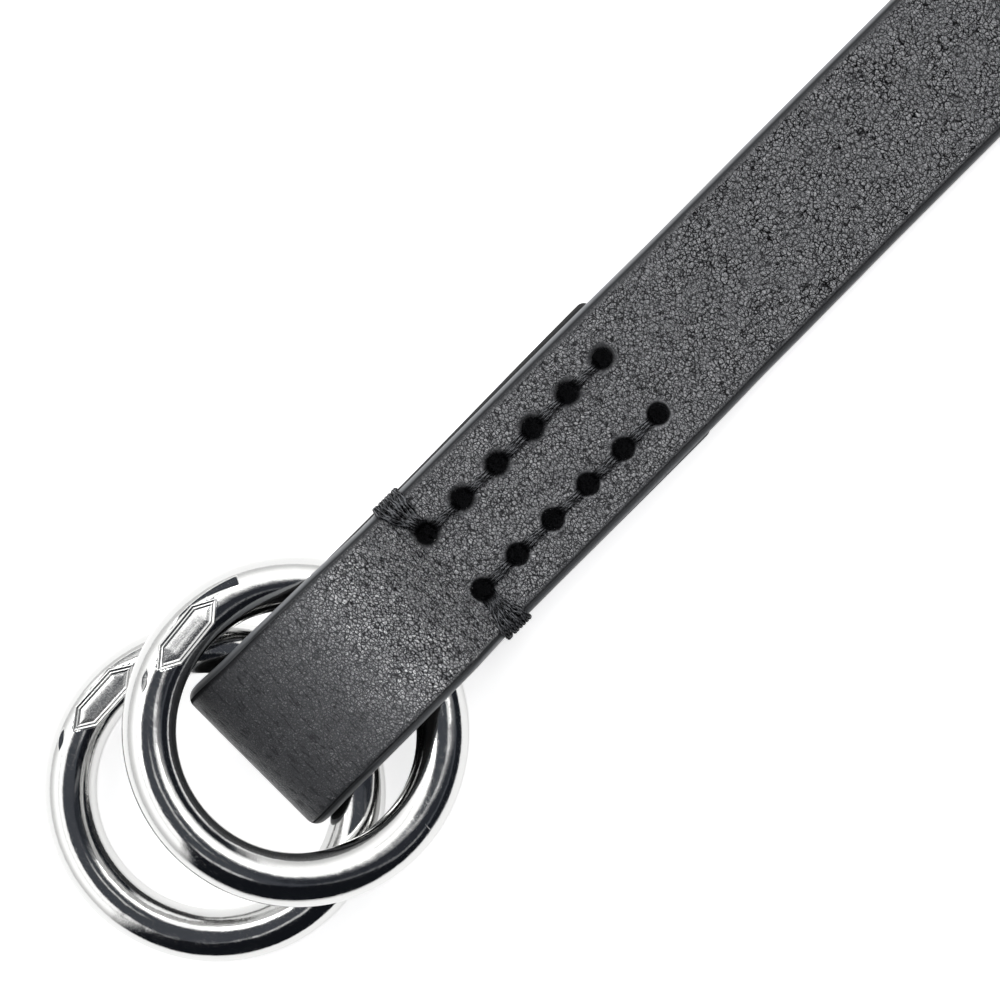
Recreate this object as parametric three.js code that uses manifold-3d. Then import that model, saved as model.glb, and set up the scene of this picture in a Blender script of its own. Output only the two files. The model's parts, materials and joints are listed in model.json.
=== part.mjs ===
// Ring belt: the end of a leather belt strap, folded back under itself and punched for its
// lacing, with two round metal rings held in the fold.
// Millimetres, +Z up. The belt lies on its flap, and X runs from the fold to the free tip.
import * as THREE from 'three';
import { mergeVertices } from 'three/addons/utils/BufferGeometryUtils.js';
import Module from 'manifold-3d';

const wasm = await Module();
wasm.setup();

// Air left between pieces that touch, and between the two layers of the folded strap.
const GAP = 0.3;

// Ring sizes, and the middle of the whole belt measured from the fold: that is the origin.
const RING = { radius: 24.75, wireRadius: 4.5, stepsRound: 64, stepsAcross: 16 };
const ORIGIN = { fromFoldX: 81.4, fromCentreLineY: -0.34 };

const LEATHER = {
  thickness: 3.2,
  flapEndThickness: 2.0,
  skiveLength: 16,
  flapEndX: 95.9,
  flapCornerRadius: 1.6,
  tipX: 200,
  tipRadius: 15,
};

// Top of the two layers where they are laced together.
const STACK = 2 * LEATHER.thickness + GAP;

// Ring centres from the fold and the strap's middle line. The lower ring lies on the surface
// and on the flap, which it meets at the flap's half width. The upper ring lies on the flap and
// across the lower ring, so it is tipped: pitch lifts its far side and roll its left side, in
// degrees. badgeTurn is the badge's angle.
const LOWER_RING = { x: -8.07, y: 0.94, badgeTurn: 92.8, flapHalfWidth: 15 };
const UPPER_RING = { x: 10.38, y: -1.65, pitch: 16.8, roll: 2.95, badgeTurn: 96.3 };

// The raised six-sided badge on each ring, with a border round a bare field.
const BADGE = {
  length: 16,
  side: 8.6,
  width: 5.0,
  top: 4.45,
  foot: 2.6,
  bevel: 0.2,
  border: 0.5,
  sunk: 0.18,
  clearance: 1,
  inward: 0.3,
};

// Grain face of the strap in side view, corner by corner from the flap's end to the free tip.
// Each corner is rounded with its radius, in that many steps.
const PROFILE = [
  { name: 'flap end', x: LEATHER.flapEndX - LEATHER.flapCornerRadius, z: 0, radius: 0, steps: 0 },
  { name: 'under the fold', x: 0, z: 0, radius: 7.9, steps: 9 },
  { name: 'over the fold', x: 0, z: 15.0, radius: 8.0, steps: 9 },
  { name: 'crest over the rings', x: 24.5, z: 20.6, radius: 22, steps: 7 },
  { name: 'shoulder behind the upper ring', x: 39.3, z: 15.6, radius: 5.2, steps: 5 },
  { name: 'foot at the lacing', x: 46.6, z: STACK, radius: 3.0, steps: 5 },
  { name: 'skived flap starts', x: 82, z: STACK, radius: 60, steps: 3 },
  { name: 'step off the flap', x: 96.5, z: 5.6, radius: 24, steps: 4 },
  { name: 'down on the surface', x: 109, z: LEATHER.thickness, radius: 30, steps: 4 },
  { name: 'tip starts', x: LEATHER.tipX - LEATHER.tipRadius, z: LEATHER.thickness, radius: 0, steps: 0 },
];
const STRAIGHT_STEP = 9;

// Half widths left and right of the middle line, by distance along the grain from the flap's end.
const WIDTHS = [
  { name: 'flap end', at: 0, left: 15.9, right: 15.7 },
  { name: 'flap middle', at: 50, left: 15.4, right: 15.6 },
  { name: 'before the fold', at: 90, left: 15.6, right: 15.6 },
  { name: 'fold, with flared ears', at: 106, left: 15.8, right: 15.75 },
  { name: 'behind the fold', at: 117, left: 15.4, right: 15.5 },
  { name: 'over the rings', at: 134, left: 15.1, right: 15.4 },
  { name: 'ramp', at: 147, left: 14.8, right: 15.5 },
  { name: 'lacing', at: 160, left: 15.0, right: 15.5 },
  { name: 'flap end below', at: 208, left: 14.95, right: 15.35 },
  { name: 'on the surface', at: 223, left: 14.9, right: 15.2 },
  { name: 'free part', at: 256, left: 15.0, right: 15.0 },
  { name: 'past the tip', at: 400, left: 15.0, right: 15.0 },
];

// Rounded long edge and the line pressed beside it: how far the grain and flesh faces are
// drawn in at each inset from the edge.
const RIM = [
  { inset: 0, grain: 1.0, flesh: 0.9 },
  { inset: 0.45, grain: 0.28, flesh: 0.2 },
  { inset: 1.25, grain: 0.22, flesh: 0 },
  { inset: 1.9, grain: 0, flesh: 0 },
];

// Steps round the flap's corners, as shares of their radius, and round the half circle of the
// free tip, in degrees.
const FLAP_CORNER_STEPS = [0, 0.25];
const TIP_STEPS = [20, 38, 54, 68, 79, 86];

// Two rows of holes for the lacing, punched through the front layer and the flap.
const HOLES = { radius: 1.75, rows: [6.4, -7.0], firstX: 48.4, pitch: 8.46, count: 6, sides: 10 };

function toSolid(geometry) {
  const bare = geometry.clone();
  bare.deleteAttribute('normal');
  bare.deleteAttribute('uv');
  const merged = mergeVertices(bare, 1e-4);
  const vertProperties = new Float32Array(merged.attributes.position.array);
  const triVerts = new Uint32Array(merged.index.array);
  return new wasm.Manifold(new wasm.Mesh({ numProp: 3, vertProperties, triVerts }));
}

function toGeometry(solid) {
  const mesh = solid.getMesh();
  const geometry = new THREE.BufferGeometry();
  geometry.setAttribute('position', new THREE.BufferAttribute(mesh.vertProperties, 3));
  geometry.setIndex(new THREE.BufferAttribute(mesh.triVerts, 1));
  geometry.computeVertexNormals();
  return geometry;
}

// The arc that rounds a corner between two straight runs of a side-view line.
function cornerArc(before, corner, after, radius, steps) {
  const along = corner.clone().sub(before).normalize();
  const next = after.clone().sub(corner).normalize();
  const turn = Math.atan2(along.cross(next), along.dot(next));
  const start = corner.clone().addScaledVector(along, -radius * Math.tan(Math.abs(turn) / 2));
  const toCentre = new THREE.Vector2(-along.y, along.x).multiplyScalar(radius * Math.sign(turn));
  const centre = start.clone().add(toCentre);
  return Array.from({ length: steps + 1 }, (_, i) => start.clone().rotateAround(centre, turn * i / steps));
}

// Points of a side-view line with rounded corners, and with its long straight runs in steps.
function roundedLine(corners) {
  const at = corners.map((corner) => new THREE.Vector2(corner.x, corner.z));
  const points = [at[0]];
  for (let k = 1; k < at.length; k += 1) {
    const { radius, steps } = corners[k];
    const arc = radius > 0 ? cornerArc(at[k - 1], at[k], at[k + 1], radius, steps) : [at[k]];
    const from = points.at(-1);
    const pieces = Math.max(1, Math.round(from.distanceTo(arc[0]) / STRAIGHT_STEP));
    for (let i = 1; i < pieces; i += 1) {
      points.push(from.clone().lerp(arc[0], i / pieces));
    }
    points.push(...arc);
  }
  return points;
}

// Stations along the grain face: point, outward normal and distance from the flap's end.
function stationsAlong(points) {
  let distance = 0;
  return points.map((point, i) => {
    const before = points[Math.max(i - 1, 0)];
    const after = points[Math.min(i + 1, points.length - 1)];
    const tangent = after.clone().sub(before).normalize();
    distance += point.distanceTo(before);
    return { point, normal: new THREE.Vector2(-tangent.y, tangent.x), distance };
  });
}

// A column of a table, eased from row to row.
function fromTable(table, at, column) {
  const next = table.findIndex((row) => row.at > at);
  const [low, high] = [table[next - 1], table[next]];
  const share = THREE.MathUtils.smoothstep(at, low.at, high.at);
  return THREE.MathUtils.lerp(low[column], high[column], share);
}

// How much narrower each side is at a distance from an end that is rounded with a radius.
function roundedEnd(fromEnd, radius) {
  const inside = Math.max(radius - fromEnd, 0);
  return radius - Math.sqrt(Math.max(radius * radius - inside * inside, 0));
}

// The flap is skived thinner towards its end.
function thicknessAt(distance) {
  const share = Math.min(distance / LEATHER.skiveLength, 1);
  return THREE.MathUtils.lerp(LEATHER.flapEndThickness, LEATHER.thickness, share);
}

// Stations of the whole strap, with extra ones where its two ends are rounded in plan.
function strapStations() {
  const flapCorner = FLAP_CORNER_STEPS.map((share) => new THREE.Vector2(
    LEATHER.flapEndX - share * LEATHER.flapCornerRadius,
    0,
  ));
  const tip = TIP_STEPS.map((angle) => new THREE.Vector2(
    LEATHER.tipX - LEATHER.tipRadius * (1 - Math.sin(THREE.MathUtils.degToRad(angle))),
    LEATHER.thickness,
  ));
  return stationsAlong([...flapCorner, ...roundedLine(PROFILE), ...tip]);
}

// The strap is a box bent along the stations: its width follows the table, its ends are
// rounded in plan and its long edges across their thickness.
function bentStrap() {
  const stations = strapStations();
  const columns = [
    ...RIM.map((row) => ({ ...row, side: 'right', sign: -1 })),
    ...RIM.toReversed().map((row) => ({ ...row, side: 'left', sign: 1 })),
  ];
  const last = stations.at(-1);
  const length = last.distance + LEATHER.tipX - last.point.x;
  const geometry = new THREE.BoxGeometry(1, 1, 1, stations.length - 1, columns.length - 1, 2);
  const { position } = geometry.attributes;
  for (let i = 0; i < position.count; i += 1) {
    const station = stations[Math.round((position.getX(i) + 0.5) * (stations.length - 1))];
    const column = columns[Math.round((position.getY(i) + 0.5) * (columns.length - 1))];
    const outward = position.getZ(i) + 0.5;
    const half = fromTable(WIDTHS, station.distance, column.side)
      - roundedEnd(station.distance, LEATHER.flapCornerRadius)
      - roundedEnd(length - station.distance, LEATHER.tipRadius);
    const squeeze = Math.min(1, half / (2 * RIM.at(-1).inset));
    const thickness = thicknessAt(station.distance);
    const fleshDepth = thickness - column.flesh * thickness / LEATHER.thickness;
    const depth = THREE.MathUtils.lerp(fleshDepth, column.grain, outward);
    position.setXYZ(
      i,
      station.point.x - station.normal.x * depth,
      (half - column.inset * squeeze) * column.sign,
      station.point.y - station.normal.y * depth,
    );
  }
  return geometry;
}

// The bent strap with its lacing holes punched through.
function strap() {
  let solid = toSolid(bentStrap());
  for (const y of HOLES.rows) {
    for (let k = 0; k < HOLES.count; k += 1) {
      const punch = new THREE.CylinderGeometry(HOLES.radius, HOLES.radius, 3 * STACK, HOLES.sides);
      punch.rotateX(Math.PI / 2);
      punch.translate(HOLES.firstX + k * HOLES.pitch, y, STACK / 2);
      solid = solid.subtract(toSolid(punch));
    }
  }
  return toGeometry(solid);
}

// Six-sided outline of the badge, drawn in by an inset all round.
function hexagon(inset) {
  const slope = Math.atan2(BADGE.width, BADGE.length - BADGE.side);
  const tip = BADGE.length / 2 - inset / Math.sin(slope);
  const shoulder = BADGE.side / 2 - inset * Math.tan(slope / 2);
  const half = BADGE.width / 2 - inset;
  const corners = [
    [tip, 0],
    [shoulder, half],
    [-shoulder, half],
    [-tip, 0],
    [-shoulder, -half],
    [shoulder, -half],
  ];
  return new THREE.Shape(corners.map(([x, y]) => new THREE.Vector2(x, y)));
}

// A ring of round wire in its own plane, with the badge on top at an angle from its X axis.
function ring(badgeTurn) {
  const { radius, wireRadius, stepsAcross, stepsRound } = RING;
  const { top, foot, bevel, border, sunk, clearance, inward } = BADGE;
  const wire = new THREE.TorusGeometry(radius, wireRadius, stepsAcross, stepsRound);
  const plate = new THREE.ExtrudeGeometry(hexagon(bevel), {
    depth: top - foot - bevel,
    bevelThickness: bevel,
    bevelSize: bevel,
    bevelSegments: 1,
  });
  plate.translate(0, 0, foot);
  const field = new THREE.ExtrudeGeometry(hexagon(border + bevel), {
    depth: sunk + clearance,
    bevelEnabled: false,
  });
  field.translate(0, 0, top - sunk);
  for (const piece of [plate, field]) {
    piece.translate(0, radius - inward, 0);
    piece.rotateZ(THREE.MathUtils.degToRad(badgeTurn - 90));
  }
  return toGeometry(toSolid(wire).add(toSolid(plate)).subtract(toSolid(field)));
}

// Tips a ring's mesh and sets it down so that its lowest point lies at a height.
function setDown(mesh, { x, y, pitch, roll }, lowest) {
  const lean = Math.tan(THREE.MathUtils.degToRad(pitch));
  const side = Math.tan(THREE.MathUtils.degToRad(roll));
  const normal = new THREE.Vector3(lean, -side, 1).normalize();
  const rise = RING.radius * Math.hypot(normal.x, normal.y);
  mesh.quaternion.setFromUnitVectors(new THREE.Vector3(0, 0, 1), normal);
  mesh.position.set(x, y, lowest + RING.wireRadius + rise);
}

// The lower ring's pitch: it lies on the flap at both edges and on the surface opposite.
function lowerPitch() {
  const reach = Math.sqrt(RING.radius ** 2 - LOWER_RING.flapHalfWidth ** 2);
  const height = LEATHER.thickness + GAP;
  return -THREE.MathUtils.radToDeg(Math.asin(height / (RING.radius + reach)));
}

const blackLeather = new THREE.MeshStandardMaterial({ color: 0x3a3b3e, roughness: 0.5, metalness: 0 });
const chrome = new THREE.MeshStandardMaterial({ color: 0xdfe0e2, roughness: 0.06, metalness: 1 });

const strapMesh = new THREE.Mesh(strap(), blackLeather);
strapMesh.name = 'strap';

const lowerRing = new THREE.Mesh(ring(LOWER_RING.badgeTurn), chrome);
lowerRing.name = 'ring_lower';
setDown(lowerRing, { ...LOWER_RING, pitch: lowerPitch(), roll: 0 }, 0);

const upperRing = new THREE.Mesh(ring(UPPER_RING.badgeTurn), chrome.clone());
upperRing.name = 'ring_upper';
setDown(upperRing, UPPER_RING, LEATHER.thickness + GAP);

const belt = new THREE.Group();
belt.position.set(-ORIGIN.fromFoldX, -ORIGIN.fromCentreLineY, 0);
belt.add(strapMesh, lowerRing, upperRing);

export default belt;
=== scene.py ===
# %% [markdown]
# # Ring belt
# The part is the buckle end of a black leather belt. The strap is folded back under itself
# round two chromed rings and laced shut with black thread. The CAD model gives the exact
# frame. This lesson keeps its places and sizes and makes each surface look like the real one.

# %% The frame
import json

import bpy
import numpy as np
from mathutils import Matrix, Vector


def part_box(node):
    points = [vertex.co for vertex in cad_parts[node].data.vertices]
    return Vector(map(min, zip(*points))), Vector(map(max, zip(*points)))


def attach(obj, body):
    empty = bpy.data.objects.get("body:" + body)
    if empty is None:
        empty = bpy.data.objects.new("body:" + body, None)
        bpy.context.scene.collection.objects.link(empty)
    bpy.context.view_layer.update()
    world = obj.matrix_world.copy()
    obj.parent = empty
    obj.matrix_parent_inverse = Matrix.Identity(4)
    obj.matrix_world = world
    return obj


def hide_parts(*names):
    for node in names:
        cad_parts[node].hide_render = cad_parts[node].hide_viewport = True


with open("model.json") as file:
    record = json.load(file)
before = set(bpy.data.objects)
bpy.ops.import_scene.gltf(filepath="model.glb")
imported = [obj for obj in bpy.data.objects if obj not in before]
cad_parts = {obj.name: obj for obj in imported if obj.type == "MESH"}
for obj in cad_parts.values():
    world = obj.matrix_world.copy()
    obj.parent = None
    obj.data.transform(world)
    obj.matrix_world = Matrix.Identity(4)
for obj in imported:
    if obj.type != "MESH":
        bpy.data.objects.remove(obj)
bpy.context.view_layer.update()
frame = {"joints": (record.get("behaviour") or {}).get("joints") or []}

# %% [markdown]
# Everything is worked out in millimetres from the fold: x runs along the strap from the
# outside of the fold, y to the left of the strap's middle line and z up from the surface. One
# function moves such points into the row frame, which is in metres. An eased step is used
# again and again, because real leather and cord have no sharp changes.

# %% Places measured from the fold
MM = 0.001
FOLD_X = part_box("strap")[0].x
MIDDLE_LINE_Y = 0.34 * MM
ORIGIN = np.array([FOLD_X, MIDDLE_LINE_Y, 0.0])
print("the fold's outside in the row frame, in mm:", np.round(ORIGIN / MM, 2))


def to_row(points):
    """Row-frame metres of points given in millimetres from the fold: scale, then shift."""
    return np.asarray(points) * MM + ORIGIN


def smooth(value, low, high):
    """Eased step: 0 below low, 1 above high, and 3t^2 - 2t^3 between them."""
    t = np.clip((value - low) / (high - low), 0.0, 1.0)
    return t * t * (3.0 - 2.0 * t)


# %% [markdown]
# Each piece is a mesh made from whole numpy arrays: its points, its faces and, where a finish
# needs them, a UV map and attributes. A surface is mostly a grid of rows and columns, so its
# faces follow from the numbers of rows and columns alone. The volume that the faces enclose
# tells whether they face outward: it comes out negative where they face inward.

# %% Faces of a grid
def grid(rows, columns, around_rows=False, around_columns=False):
    """Quads of a numbered grid: each vertex with its neighbours in the next row and column."""
    i = np.arange(rows if around_rows else rows - 1)[:, None]
    j = np.arange(columns if around_columns else columns - 1)[None, :]
    down, right = (i + 1) % rows, (j + 1) % columns
    corners = [i * columns + j, down * columns + j, down * columns + right, i * columns + right]
    return np.stack(np.broadcast_arrays(*corners), -1).reshape(-1, 4)


def fans(rows, columns):
    """Triangles that close a tube's first and last rows, each from a middle point after the grid."""
    first, last = np.arange(columns), np.arange(columns) + (rows - 1) * columns
    foot = np.stack([first, np.roll(first, -1), np.full(columns, rows * columns)], -1)
    top = np.stack([np.roll(last, -1), last, np.full(columns, rows * columns + 1)], -1)
    return np.concatenate([foot, top])


def enclosed_volume(points, faces):
    """Sum over the faces' triangles of a . (b x c) / 6."""
    total = 0.0
    for group in faces:
        for k in range(1, group.shape[1] - 1):
            a, b, c = points[group[:, 0]], points[group[:, k]], points[group[:, k + 1]]
            total += np.einsum("ij,ij->", a, np.cross(b, c)) / 6.0
    return total


# %% [markdown]
# One function hands the arrays to Blender, turns the faces outward, shades them smooth and
# tells the frame which body the piece moves with and which material slot it fills.

# %% From arrays to a piece
def make_piece(name, points, faces, body, materials, face_material=None, uv=None, marks=None):
    """A named mesh from points in millimetres and groups of faces with equal corner counts."""
    if enclosed_volume(points, faces) < 0:
        faces = [group[:, ::-1] for group in faces]
    mesh = bpy.data.meshes.new(name)
    corners = np.concatenate([group.ravel() for group in faces])
    sizes = np.concatenate([np.full(len(group), group.shape[1]) for group in faces])
    mesh.vertices.add(len(points))
    mesh.vertices.foreach_set("co", to_row(points).astype(np.float32).ravel())
    mesh.loops.add(len(corners))
    mesh.loops.foreach_set("vertex_index", corners.astype(np.int32))
    mesh.polygons.add(len(sizes))
    mesh.polygons.foreach_set("loop_start", (np.cumsum(sizes) - sizes).astype(np.int32))
    mesh.polygons.foreach_set("use_smooth", np.ones(len(sizes), bool))
    for material in materials:
        mesh.materials.append(material)
    if face_material is not None:
        mesh.polygons.foreach_set("material_index", face_material.astype(np.int32))
    if uv is not None:
        layer = mesh.uv_layers.new(name="surface")
        layer.data.foreach_set("uv", (uv[corners] * MM).astype(np.float32).ravel())
    for mark, values in (marks or {}).items():
        attribute = mesh.attributes.new(mark, "FLOAT", "POINT")
        attribute.data.foreach_set("value", np.asarray(values, np.float32).ravel())
    mesh.update(calc_edges=True)
    mesh.validate()
    piece = bpy.data.objects.new(name, mesh)
    bpy.context.scene.collection.objects.link(piece)
    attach(piece, body)
    print(f"{name}: {len(points)} points, {int((sizes - 2).sum())} triangles")
    return piece


# %% [markdown]
# A finish is a tree of shader nodes. One function adds any node: its settings, then a value,
# another node or one of that node's outputs for each input. Inputs go by name, or in order
# when they are a plain tuple. Settings that come back often have short names. Another
# function turns the hex colours that a colour picker gives into linear light.

# %% Colours and nodes
EASED = {"interpolation_type": "SMOOTHSTEP"}
TIMES = {"operation": "MULTIPLY"}
TIMES_PLUS = {"operation": "MULTIPLY_ADD"}
LESS = {"operation": "SUBTRACT"}
COLOURS = {"data_type": "RGBA"}


def colour(hex_value):
    """Linear colour of an sRGB hex value, by the sRGB curve, with full alpha."""
    c = np.array([int(hex_value[i:i + 2], 16) for i in (1, 3, 5)]) / 255.0
    linear = np.where(c <= 0.04045, c / 12.92, ((c + 0.055) / 1.055) ** 2.4)
    return (*linear.tolist(), 1.0)


def add(tree, kind, inputs=(), **settings):
    """Adds a node with its settings and inputs. A node given as an input lends its first output."""
    node = tree.nodes.new("ShaderNode" + kind)
    for name, value in settings.items():
        setattr(node, name, value)
    for name, value in inputs.items() if isinstance(inputs, dict) else enumerate(inputs):
        if isinstance(value, bpy.types.Node):
            value = next(output for output in value.outputs if output.enabled)
        if isinstance(value, bpy.types.NodeSocket):
            tree.links.new(value, node.inputs[name])
        else:
            node.inputs[name].default_value = value
    return node


def each(size):
    """Texture scale that repeats a pattern once in so many millimetres."""
    return 1 / (size * MM)


def new_finish(name):
    """An empty material and its tree of nodes."""
    print("finish:", name)
    material = bpy.data.materials.new(name)
    material.use_nodes = True
    material.node_tree.nodes.clear()
    return material, material.node_tree


# %% [markdown]
# ## Grain leather
# Full-grain calf leather, drum dyed black and lightly finished. Its grain is a net of cells
# half a millimetre wide, with a looser net of pebbles 1 mm wide over it where the belt was
# flexed most, and fine lines across the strap where it was pulled. The lines are painted near
# black, as painted shade in their grooves. The tops are grey, partly from wear and partly as
# painted highlight, and catch the light. A picture could show this, but patterns of noise
# stay sharp from near and follow the real sizes. They read the strap's own UV map, laid out
# in real millimetres along the grain face, so they follow every bend.
#
# Attributes of the strap say how much of each shows at a place: "worked" the grain as a whole,
# "cells" the small net, "open_grain" the pebbles, "creased" the pulled lines, "faded" how far
# the black has greyed, and the rubbed mark the grey of the worn tops, which is partly wear and
# partly painted highlight. "rim" is the distance from the strap's edge.

# %% Patterns of the grain
MARKS = ("worked", "cells", "rubbed_and_highlit", "creased", "open_grain", "faded")
GRAIN = {"cell": 0.54, "pebble": 0.95, "pore": 0.2, "swell": 3.0, "zone": 5.0}
PULLED = {"width": 0.4, "length": 2.4}


def pushed_about(tree, place, spacing, reach):
    """A place moved by soft noise of the given spacing, up to half the reach each way."""
    push = add(tree, "TexNoise", {"Vector": place, "Scale": each(spacing), "Detail": 2.0}).outputs["Color"]
    centred = add(tree, "VectorMath", (push, (0.5,) * 3), **LESS)
    moved = add(tree, "VectorMath", (centred, (reach * MM,) * 3), **TIMES)
    return add(tree, "VectorMath", (place, moved))


def grain_patterns(tree, marks):
    """Noises, and how far a place is from the border of its cell and pebble, in shares of one."""
    surface = add(tree, "UVMap", uv_map="surface")
    longer = add(tree, "Mapping", {"Vector": surface, "Scale": (1.12, 0.78, 1.0)})
    place = pushed_about(tree, longer, 1.6, 0.8)
    wide_place = pushed_about(tree, pushed_about(tree, surface, 2.4, 1.6), 0.8, 0.3)
    line_scale = (each(PULLED["width"]), each(PULLED["length"]), 1.0)
    across = add(tree, "Mapping", {"Vector": place, "Scale": line_scale})
    in_cell = {"Vector": place, "Scale": each(GRAIN["cell"])}
    in_pebble = {"Vector": wide_place, "Scale": each(GRAIN["pebble"])}
    own_colour = add(tree, "TexVoronoi", in_cell).outputs["Color"]
    grain = {
        "surface": surface,
        "cell": add(tree, "TexVoronoi", in_cell, feature="DISTANCE_TO_EDGE"),
        "rise": add(tree, "SeparateXYZ", (own_colour,)),
        "pebble": add(tree, "TexVoronoi", in_pebble, feature="DISTANCE_TO_EDGE"),
        "pulled": add(tree, "TexNoise", {"Vector": across, "Scale": 1.0, "Detail": 2.0}),
    }
    for name, detail in (("zone", 3.0), ("pore", 2.0), ("swell", 3.0)):
        scale = each(GRAIN[name])
        grain[name] = add(tree, "TexNoise", {"Vector": surface, "Scale": scale, "Detail": detail})
    open_zone = add(tree, "MapRange", (grain["zone"], 0.36, 0.56, 0.65, 1.0), **EASED)
    grain["open_here"] = add(tree, "Math", (marks["open_grain"], open_zone), **TIMES)
    grain["crown"] = add(tree, "Math", (marks["open_grain"], -0.15, 0.3), **TIMES_PLUS)
    off_rim = add(tree, "MapRange", (marks["rim"], 1.2, 1.9), **EASED)
    grain["strength"] = add(tree, "Math", (marks["worked"], off_rim), **TIMES)
    return grain


# %% [markdown]
# Painted shade and relief come from the same patterns, so each dark line lies in its groove.
# Cells are domed where the leather is tight and flat-topped where the grain is open. Shade is
# also painted into the crease beside the rim. It is darkest along the right edge and reaches
# further in along the left one.

# %% Lines of the grain
def grain_lines(tree, grain, marks):
    """1 in the grain's lines: 1 - (1 - cells)(1 - pebbles)(1 - pulled), or the crease's painted shade."""
    cell_net = add(tree, "MapRange", (grain["cell"], 0.0, 0.15, 1.2, 0.0), **EASED)
    pebble_net = add(tree, "MapRange", (grain["pebble"], 0.015, 0.1, 1.0, 0.0), **EASED)
    furrows = add(tree, "MapRange", (grain["pulled"], 0.38, 0.46, 0.7, 0.0), **EASED)
    nets = [(cell_net, marks["cells"]), (pebble_net, grain["open_here"]), (furrows, marks["creased"])]
    tops = 1.0
    for net, share in nets:
        line = add(tree, "Math", (net, share), **TIMES)
        top = add(tree, "Math", (1.0, line), **LESS)
        tops = add(tree, "Math", (tops, top), **TIMES)
    lines = add(tree, "Math", (1.0, tops), **LESS)
    shown = add(tree, "Math", (lines, grain["strength"]), **TIMES)
    side = add(tree, "SeparateXYZ", (grain["surface"],)).outputs["Y"]
    # Painted shade in the crease beside the rim: darker on the right edge, reaching further in on the left.
    crease_painted_shade = add(tree, "MapRange", (side, -5 * MM, 5 * MM, 0.9, 0.8), **EASED)
    painted_shade_reach = add(tree, "MapRange", (side, -5 * MM, 5 * MM, 1.6, 2.4))
    beside_rim = add(tree, "MapRange", (marks["rim"], 1.1, painted_shade_reach, 1.0, 0.0), **EASED)
    in_crease = add(tree, "Math", (beside_rim, crease_painted_shade), **TIMES)
    return add(tree, "Math", (shown, in_crease), operation="MAXIMUM")


# %% Relief of the grain
def grain_relief(tree, grain, marks):
    """Bump from heights in millimetres: cell and pebble domes, pulled lines, pores and swells."""
    dome = add(tree, "MapRange", (grain["cell"], 0.0, grain["crown"]), **EASED)
    own_height = add(tree, "Math", (grain["rise"], 0.07, 0.065), **TIMES_PLUS)
    relief = add(tree, "Math", (dome, own_height), **TIMES)
    relief = add(tree, "Math", (relief, marks["cells"]), **TIMES)
    pebble = add(tree, "MapRange", (grain["pebble"], 0.0, 0.2), **EASED)
    pebble = add(tree, "Math", (pebble, grain["open_here"]), **TIMES)
    valley = add(tree, "MapRange", (grain["pulled"], 0.34, 0.56), **EASED)
    valley = add(tree, "Math", (valley, marks["creased"]), **TIMES)
    for height, depth in ((pebble, 0.09), (valley, 0.12), (grain["pore"], 0.13), (grain["swell"], 0.2)):
        relief = add(tree, "Math", (height, depth, relief), **TIMES_PLUS)
    relief = add(tree, "Math", (relief, grain["strength"]), **TIMES)
    return add(tree, "Bump", {"Height": relief, "Distance": 1.3 * MM, "Strength": 1.0})


# %% Grain leather finish
def grain_leather():
    """Dyed leather: grey tops, partly wear and partly painted highlight, each cell a little its own, over
    black, and painted shade in the lines.
    """
    material, tree = new_finish("full_grain_calf_black")
    marks = {}
    for mark in (*MARKS, "rim"):
        marks[mark] = add(tree, "Attribute", attribute_name=mark).outputs["Fac"]
    grain = grain_patterns(tree, marks)
    shown = grain_lines(tree, grain, marks)
    # Grey of the tops: partly wear, partly painted highlight, with near-white painted flecks.
    wear_and_highlight = add(tree, "MapRange", (grain["cell"], 0.03, grain["crown"]), **EASED)
    faint = add(tree, "Math", (marks["open_grain"], 0.25), **TIMES)
    full = add(tree, "Math", (1.0, faint), **LESS)
    flecks = add(tree, "MapRange", (grain["pore"], 0.42, 0.58, faint, full), **EASED)
    spread = add(tree, "Math", (marks["open_grain"], -0.55, 0.9), **TIMES_PLUS)
    own_wear = add(tree, "Math", (grain["rise"], spread, 0.3), **TIMES_PLUS)
    patches = add(tree, "MapRange", (grain["zone"], 0.36, 0.64, 0.62, 1.03), **EASED)
    for share in (flecks, own_wear, patches, marks["rubbed_and_highlit"]):
        wear_and_highlight = add(tree, "Math", (wear_and_highlight, share), **TIMES)
    black = add(tree, "Mix", {0: marks["faded"], 6: colour("#26272a"), 7: colour("#717275")}, **COLOURS)
    tone = add(tree, "Mix", {0: wear_and_highlight, 6: black, 7: colour("#fafafc")}, **COLOURS)
    # The lines are painted near black: painted shade in the grooves.
    tone_with_painted_shade = add(tree, "Mix", {0: shown, 6: tone, 7: colour("#0a0a0b")}, **COLOURS)

    # The finish shines on worn tops and is matt in the lines, and less of it is left where
    # the strap is tight and dark.
    glint = add(tree, "Math", (wear_and_highlight, 0.9, 0.5), **TIMES_PLUS)
    glint = add(tree, "Math", (shown, -1.2, glint), **TIMES_PLUS)
    kept = add(tree, "Math", (marks["faded"], 0.6, 0.4), **TIMES_PLUS)
    glint = add(tree, "Math", (glint, kept), **TIMES)
    gloss = add(tree, "Math", (grain["pore"], 0.24, 0.14), **TIMES_PLUS)
    gloss = add(tree, "Math", (shown, 0.3, gloss), **TIMES_PLUS)
    relief = grain_relief(tree, grain, marks)
    look = {"Base Color": tone_with_painted_shade, "Roughness": gloss, "Specular IOR Level": glint, "Normal": relief}
    add(tree, "OutputMaterial", {"Surface": add(tree, "BsdfPrincipled", look)})
    return material


# %% [markdown]
# ## Edge paint and flesh side
# The cut edge is rounded, coated with several layers of black edge paint and burnished, so it
# is smoother and glossier than the grain. It could be a piece of its own, but paint adds no
# shape that the eye can see, so it is a second finish on the strap's mesh. The flesh side is
# the underside of the hide: a dull matted nap with no grain.

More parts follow.
